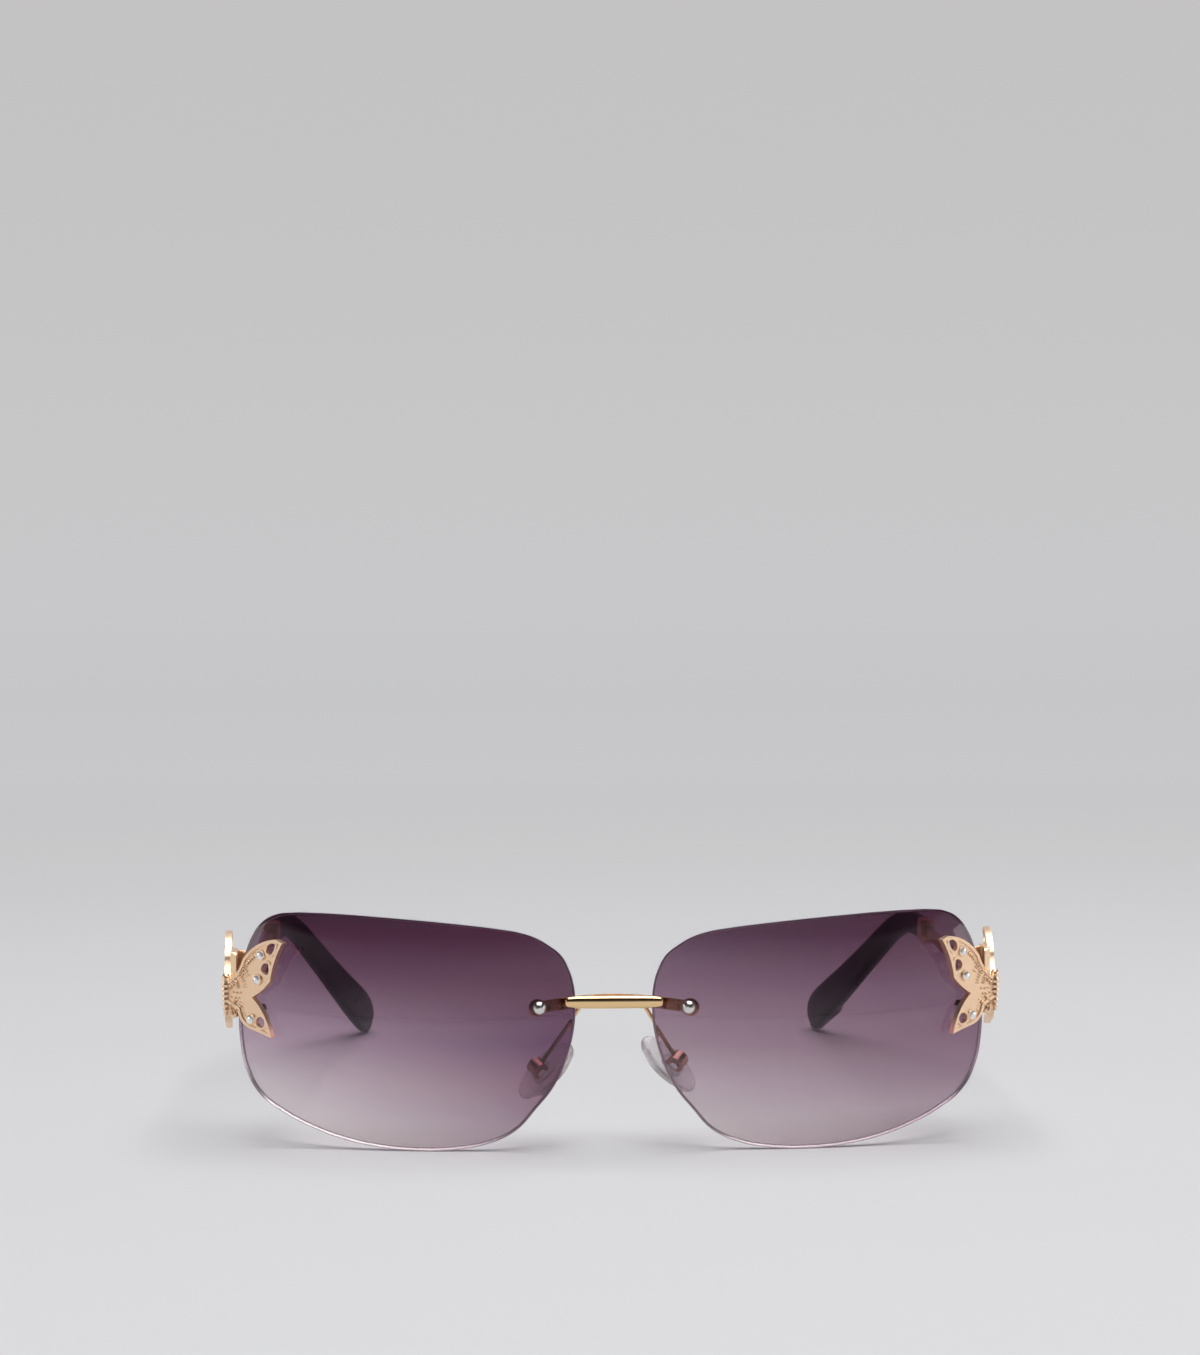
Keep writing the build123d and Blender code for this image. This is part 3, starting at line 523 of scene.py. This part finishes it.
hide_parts("bridge_bar")
cast_of("bridge_strap", "bridge_strap_pressed", "front", wire_gold, bevel=0.0001, smooth=40)
cast_of("bridge_screws", "bridge_rivet_screws", "front", silver, bevel=0.0001, smooth=40)
cast_of("bridge_nuts", "bridge_hex_nuts", "front", silver, bevel=0.0001, smooth=30)


# Lens bushes
# Each hole in the lenses holds a small bush of clear moulded nylon. The inserts of the nose pads
# are of the same nylon, which is a little hazy from the mould, in spots of about 0.7 mm.
nylon, tree, surface = new_material("clear_moulded_nylon")
haze = add_node(tree, "ShaderNodeTexNoise", {
    "Vector": add_node(tree, "ShaderNodeTexCoord").outputs["Object"], "Scale": 1500.0,
})
rough = add_node(tree, "ShaderNodeMapRange", {
    "Value": haze.outputs["Fac"], "To Min": 0.1, "To Max": 0.25,
})
plastic = add_node(tree, "ShaderNodeBsdfPrincipled", {
    "Base Color": colour("#f4f2ee"), "Roughness": rough.outputs["Result"], "IOR": 1.53,
    "Transmission Weight": 0.9,
})
tree.links.new(plastic.outputs["BSDF"], surface)
for name in ("bridge_bushes", "wing_bushes", "left_pad_insert", "right_pad_insert"):
    cad[name].data.materials.clear()
    cad[name].data.materials.append(nylon)


# Nose pads
# Soft clear silicone ovals, moulded round the hard nylon insert that hangs on the pad screw. The
# wire arm is soldered to the strap and ends in a turned and knurled clevis box.

# Silicone from the mould has a soft gloss, a little milky in spots of about 1.4 mm, and lets most
# light through.
silicone, tree, surface = new_material("clear_moulded_silicone")
place = add_node(tree, "ShaderNodeTexCoord").outputs["Object"]
haze = add_node(tree, "ShaderNodeTexNoise", {"Vector": place, "Scale": 700.0, "Detail": 3.0})
rough = add_node(tree, "ShaderNodeMapRange", {
    "Value": haze.outputs["Fac"], "To Min": 0.08, "To Max": 0.2,
})
gel = add_node(tree, "ShaderNodeBsdfPrincipled", {
    "Base Color": colour("#f2eef0"), "Roughness": rough.outputs["Result"], "IOR": 1.41,
    "Transmission Weight": 0.8,
})
ray = add_node(tree, "ShaderNodeLightPath")
passed = add_node(tree, "ShaderNodeBsdfTransparent", {"Color": colour("#eeeaec")})
whole = add_node(tree, "ShaderNodeMixShader", {
    "Fac": ray.outputs["Is Shadow Ray"], 1: gel.outputs["BSDF"], 2: passed.outputs["BSDF"],
})
tree.links.new(whole.outputs["Shader"], surface)

# The boxes have a darker, rosier copy of the gold plate: painted shade that dims them and their
# highlights. The knurling breaks up what they reflect into small sparks.
shaded_gold = plated("knurled_gold_plate_painted_shade", "#b0867a", 0.3, grain=0.0003, depth=0.00006)
pad_lean, pad_splay, pad_fullness = radians(46), radians(45), 0.72
pad_length, pad_width, pad_thickness = 0.0142, 0.0076, 0.0024
pad_standoff, pad_shift, pad_screw_y = 0.0015, 0.0007, 0.0087
pad_screw_xz = {"left": (0.0129, 0.0149), "right": (0.0150, 0.0137)}
down_pad = Vector((-cos(pad_lean), 0, -sin(pad_lean)))
back = Vector((0, 1, 0))
towards_pad = down_pad * cos(pad_splay) + back * sin(pad_splay)
along_screw = back * cos(pad_splay) - down_pad * sin(pad_splay)
turned = Matrix((along_screw, towards_pad.cross(along_screw), towards_pad)).transposed().to_4x4()
for side, (x, z) in pad_screw_xz.items():
    bpy.ops.object.select_all(action="DESELECT")
    bpy.ops.mesh.primitive_uv_sphere_add(segments=48, ring_count=24, radius=1)
    pad = bpy.context.object
    pad.name = side + "_pad_silicone"
    for vertex in pad.data.vertices:
        reach = sqrt(vertex.co.x**2 + vertex.co.y**2)
        full = reach**pad_fullness / reach if reach > 0.001 else 1
        vertex.co.x *= full * pad_width / 2
        vertex.co.y *= full * pad_length / 2
        vertex.co.z = (vertex.co.z + 1) * pad_thickness / 2 + pad_standoff
        vertex.co.y -= pad_shift
    pad.data.transform(front_place @ Matrix.Translation((x, pad_screw_y, z)) @ turned)
    if side == "right":
        pad.data.transform(mirrored)
    face_outwards(weld=True)
    bpy.ops.object.shade_smooth()
    pad.data.materials.append(silicone)
    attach(pad, side + "_pad")
    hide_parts(side + "_nose_pad")
    cast_of(side + "_pad_arm", side + "_pad_wire", "front", wire_gold, smooth=40)
    cast_of(side + "_pad_box", side + "_pad_clevis", "front", shaded_gold, bevel=0.00008, smooth=40)
    cast_of(side + "_pad_screw", side + "_pad_pin", "front", silver, bevel=0.00005, smooth=40)


# Butterflies
# Each corner carries one zinc casting, bent about the butterfly's body, tumbled to a soft shine and
# plated in pale gold. Its wings have a raised rim, pierced cells and a collar round each stone. Its
# two studs go through the lens and the soldered end piece, which carries the hinge, into two nuts.

# Tumbling leaves the plate a broad soft gloss and a grain of about 0.1 mm.
satin_gold = plated("tumbled_gold_plate", "#f6d4b2", 0.34, grain=0.00012, depth=0.00001)
for side in ("left", "right"):
    for piece, name, plate, bevel in (
        ("_butterfly", "_butterfly_cast", satin_gold, 0.00007),
        ("_end_piece", "_end_piece_soldered", satin_gold, 0.0001),
        ("_hinge_screw", "_hinge_screw_slotted", wire_gold, 0.00005),
    ):
        cast_of(side + piece, side + name, "front", plate, bevel=bevel, smooth=40)
cast_of("wing_nuts", "wing_hex_nuts", "front", silver, bevel=0.0001, smooth=30)

# The chasing on the wings: ribs that fan out from the two roots, beads between the roots, and short
# ribs across the rims. The side wing has a row of beads round its edge as well. A wing is measured
# from the foot of the butterfly's body, and is given here by its directions along and out, first
# the front wing and then the side wing.
spine_foot = Vector((0.076402, 0.014098, 0.01985))
wing_turn, wing_splay = radians(36), radians(1)
wings = [
    (Vector((-cos(wing_turn), -sin(wing_turn), 0)), Vector((sin(wing_turn), -cos(wing_turn), 0))),
    (Vector((sin(wing_splay), cos(wing_splay), 0)), Vector((cos(wing_splay), -sin(wing_splay), 0))),
]
fore_root, hind_root = (1.0, 9.2), (0.7, 8.0)
fore_edge = [(0.4, 10.53), (2.6, 12.15), (4.6, 15.35), (8.04, 18.15), (11.6, 19.2)]
hind_edge = [(0.2, 6.7), (3.2, 5.15), (3.9, 3.35), (6.6, 1.54), (9.0, 0.85)]
rib_breadth, rim_breadth, bead_breadth, rib_height = 0.34, 0.32, 0.5, 0.7
root_beads = [(1.2, 9.2), (2.0, 8.6), (2.9, 8.5), (3.8, 8.6), (1.5, 7.6), (2.5, 7.5), (3.4, 7.5)]


def spaced(points, step, inset):
    """Places at equal steps along a line of points, set off to its right, and the turn there."""
    rows = []
    for (x, z), (x_next, z_next) in zip(points, points[1:]):
        turn = atan2(z_next - z, x_next - x)
        for number in range(int(sqrt((x_next - x)**2 + (z_next - z)**2) / step)):
            run = (number + 0.5) * step
            rows.append((
                x + run * cos(turn) + inset * sin(turn), z + run * sin(turn) - inset * cos(turn),
                degrees(turn),
            ))
    return rows


def on_wing(wing, across, up, proud=0.0):
    """The place some mm across and up a wing. Its X runs along the wing, its Z out of the face."""
    along, out = wing
    point = spine_foot + along * across / 1000 + Vector((0, 0, up / 1000)) + out * proud
    place = Matrix((along, Vector((0, 0, 1)), out)).transposed().to_4x4()
    place.translation = point
    return front_place @ place


# Each row: place across and up the wing, turn, length and breadth, in mm and degrees. The fans
# stop short of the stones and the pierced cells.
ribs = []
for (across, up), turns, rings in (
    (fore_root, range(8, 80, 8), ((2.3, 1.0), (3.9, 1.3), (5.5, 1.2))),
    (hind_root, range(-74, -14, 10), ((2.2, 1.0), (3.7, 1.2))),
):
    for turn in turns:
        for reach, length in rings:
            if reach < 3 or turn < 60 and (reach < 5 or 24 < turn < 56):
                x = across + reach * cos(radians(turn))
                z = up + reach * sin(radians(turn))
                ribs.append((x, z, turn, length, rib_breadth))
for across, up in root_beads:
    ribs.append((across, up, 0, 0.55, bead_breadth))
for edge, step, inset, lean, length in (
    (fore_edge[:4], 0.62, 1.25, -75, 1.15), (hind_edge[1:4], 0.66, -1.1, 70, 0.95),
):
    for across, up, turn in spaced(edge, step, inset):
        ribs.append((across, up, turn + lean, length, rim_breadth))
edge_beads = [
    (across, up, 0, bead_breadth, bead_breadth)
    for across, up, turn in spaced(fore_edge, 0.7, 0.4) + spaced(hind_edge, 0.7, -0.4)
]
for side in ("left", "right"):
    bpy.ops.object.select_all(action="DESELECT")
    bpy.ops.mesh.primitive_uv_sphere_add(segments=10, ring_count=6, radius=0.5)
    bead = bpy.context.object
    pieces = []
    for wing, rows in zip(wings, (ribs, ribs + edge_beads)):
        for across, up, turn, length, breadth in rows:
            rib = bpy.data.objects.new("rib", bead.data.copy())
            bpy.context.scene.collection.objects.link(rib)
            shape = Matrix.Rotation(radians(turn), 4, "Z") @ Matrix.Diagonal(
                (length / 1000, breadth / 1000, rib_height / 1000, 1)
            )
            rib.data.transform(on_wing(wing, across, up) @ shape)
            if side == "right":
                rib.data.transform(mirrored)
            pieces.append(rib)
    bpy.data.objects.remove(bead)
    chasing = joined(pieces, side + "_wing_chasing")
    bpy.ops.object.shade_smooth()
    chasing.data.materials.append(satin_gold)
    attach(chasing, "front")


# Stones
# Machine-cut crystals with a silver foil behind them, glued into the collars: hard flat facets,
# white where they catch the soft boxes and grey where they don't.
crystal, tree, surface = new_material("foil_backed_crystal")
glass = add_node(tree, "ShaderNodeBsdfPrincipled", {
    "Base Color": colour("#fdfdfd"), "Metallic": 0.6, "Roughness": 0.05, "IOR": 1.56,
    "Coat Weight": 1.0, "Coat Roughness": 0.02,
})
tree.links.new(glass.outputs["BSDF"], surface)
stone_places = [(8.91, 16.24), (8.04, 11.35), (6.39, 3.49)]
stone_radius, stone_height, stone_proud, stone_turn = 0.00102, 0.00052, 0.00012, 0.4
stone_size = Matrix.Diagonal((stone_radius, stone_radius, stone_height, 1))
for side in ("left", "right"):
    pieces = []
    for wing in wings:
        for number, (across, up) in enumerate(stone_places):
            bpy.ops.object.select_all(action="DESELECT")
            bpy.ops.mesh.primitive_uv_sphere_add(segments=7, ring_count=6, radius=1)
            stone = bpy.context.object
            shape = Matrix.Rotation(stone_turn * number, 4, "Z") @ stone_size
            stone.data.transform(on_wing(wing, across, up, stone_proud) @ shape)
            if side == "right":
                stone.data.transform(mirrored)
            pieces.append(stone)
    stones = joined(pieces, side + "_wing_crystals")
    bpy.ops.object.shade_flat()
    stones.data.materials.append(crystal)
    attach(stones, "front")
    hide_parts(side + "_stones")


# Temples
# A flat gold bar runs back from the hinge to a gold block, and a black acetate sleeve, bent down
# and in behind the ear, is pushed over its core.

# Acetate from the mould has a soft gloss. Handling has made it uneven, in spots of about 2.5 mm.
acetate, tree, surface = new_material("black_moulded_acetate")
place = add_node(tree, "ShaderNodeTexCoord").outputs["Object"]
wear = add_node(tree, "ShaderNodeTexNoise", {"Vector": place, "Scale": 400.0, "Detail": 4.0})
rough = add_node(tree, "ShaderNodeMapRange", {
    "Value": wear.outputs["Fac"], "To Min": 0.22, "To Max": 0.38,
})
plastic = add_node(tree, "ShaderNodeBsdfPrincipled", {
    "Base Color": colour("#2c2a2c"), "Roughness": rough.outputs["Result"], "IOR": 1.48,
})
tree.links.new(plastic.outputs["BSDF"], surface)

# The left sleeve runs from its start to its tip by way of the bend, all set off from the hinge.
hinge_axis = Vector((0.073002, -0.047065, 0.0313))
sleeve_start = hinge_axis + Vector((-0.00333, 0.05748, 0.00075))
sleeve_bend = hinge_axis + Vector((-0.0057, 0.0752, 0.0007))
sleeve_tip = hinge_axis + Vector((-0.0220, 0.1147, -0.02940))
bend_radius, sleeve_steps = 0.028, 56
# The section is a rounded rectangle of this power, and the steps crowd towards the tip.
sleeve_power, tip_crowding = 3.2, 1.25
# Each row: share of the way to the tip, then height, width and lift of the section in mm.
sleeve_shares = [
    (0.0, 4.6, 2.7, 0.0), (0.12, 4.7, 2.8, 0.0), (0.25, 5.0, 2.9, 0.0), (0.38, 5.5, 2.9, 0.1),
    (0.56, 6.2, 3.0, 0.25), (0.72, 7.1, 3.2, 0.5), (0.84, 7.9, 3.5, 0.8), (0.9, 8.2, 3.5, 0.95),
    (0.94, 8.0, 3.4, 0.95), (0.97, 7.2, 3.2, 0.7), (0.99, 5.6, 2.8, 0.3), (1.0, 4.4, 2.1, 0.2),
]


def sleeve_path(share):
    """Point and direction at a share of the way along two straight runs joined by an arc."""
    first = (sleeve_bend - sleeve_start).normalized()
    last = (sleeve_tip - sleeve_bend).normalized()
    swing = first.angle(last)
    cut = bend_radius * sin(swing / 2) / cos(swing / 2)
    run_in = (sleeve_bend - sleeve_start).length - cut
    run_out = (sleeve_tip - sleeve_bend).length - cut
    done = share * (run_in + bend_radius * swing + run_out)
    if done < run_in:
        return sleeve_start + first * done, first
    if done < run_in + bend_radius * swing:
        angle = (done - run_in) / bend_radius
        inward = (last - first * first.dot(last)).normalized()
        point = sleeve_bend - first * cut + first * bend_radius * sin(angle)
        point += inward * bend_radius * (1 - cos(angle))
        return point, first * cos(angle) + inward * sin(angle)
    return sleeve_bend + last * (cut + done - run_in - bend_radius * swing), last


def sleeve_size(share):
    """Height, width and lift of the section at a share of the way."""
    for row, following in zip(sleeve_shares, sleeve_shares[1:]):
        if share <= following[0] + 1e-6:
            part = (share - row[0]) / (following[0] - row[0])
            return [(a + (b - a) * part) / 1000 for a, b in zip(row[1:], following[1:])]


for side in ("left", "right"):
    temple = side + "_temple"
    cast_of(temple + "_arm", temple + "_bar", temple, wire_gold, bevel=0.0001, smooth=40)
    cast_of(side + "_ferrule", side + "_ferrule_block", temple, satin_gold, bevel=0.0001, smooth=40)
    bpy.ops.object.select_all(action="DESELECT")
    bpy.ops.mesh.primitive_circle_add(
        vertices=40, radius=1, fill_type="NGON", rotation=(pi / 2, 0, 0),
    )
    bpy.ops.object.transform_apply(rotation=True)
    sleeve = bpy.context.object
    sleeve.name = temple + "_tip_moulded"
    bpy.ops.object.mode_set(mode="EDIT")
    bpy.ops.mesh.select_all(action="SELECT")
    for step in range(sleeve_steps):
        bpy.ops.mesh.extrude_region_move(TRANSFORM_OT_translate={"value": (0, 1, 0)})
    face_outwards()
    for vertex in sleeve.data.vertices:
        share = 1 - (1 - round(vertex.co.y) / sleeve_steps)**tip_crowding
        point, way = sleeve_path(share)
        height, width, lift = sleeve_size(share)
        lateral = way.cross(Vector((0, 0, 1))).normalized()
        upward = lateral.cross(way).normalized()
        x, z = vertex.co.x, vertex.co.z
        full = (abs(x)**sleeve_power + abs(z)**sleeve_power)**(-1 / sleeve_power)
        vertex.co = point + lateral * x * full * width / 2 + upward * (z * full * height / 2 + lift)
    if side == "right":
        sleeve.data.transform(mirrored)
    face_outwards()
    bpy.ops.object.shade_smooth_by_angle(angle=radians(50))
    sleeve.data.materials.append(acetate)
    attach(sleeve, temple)
    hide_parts(temple + "_sleeve")
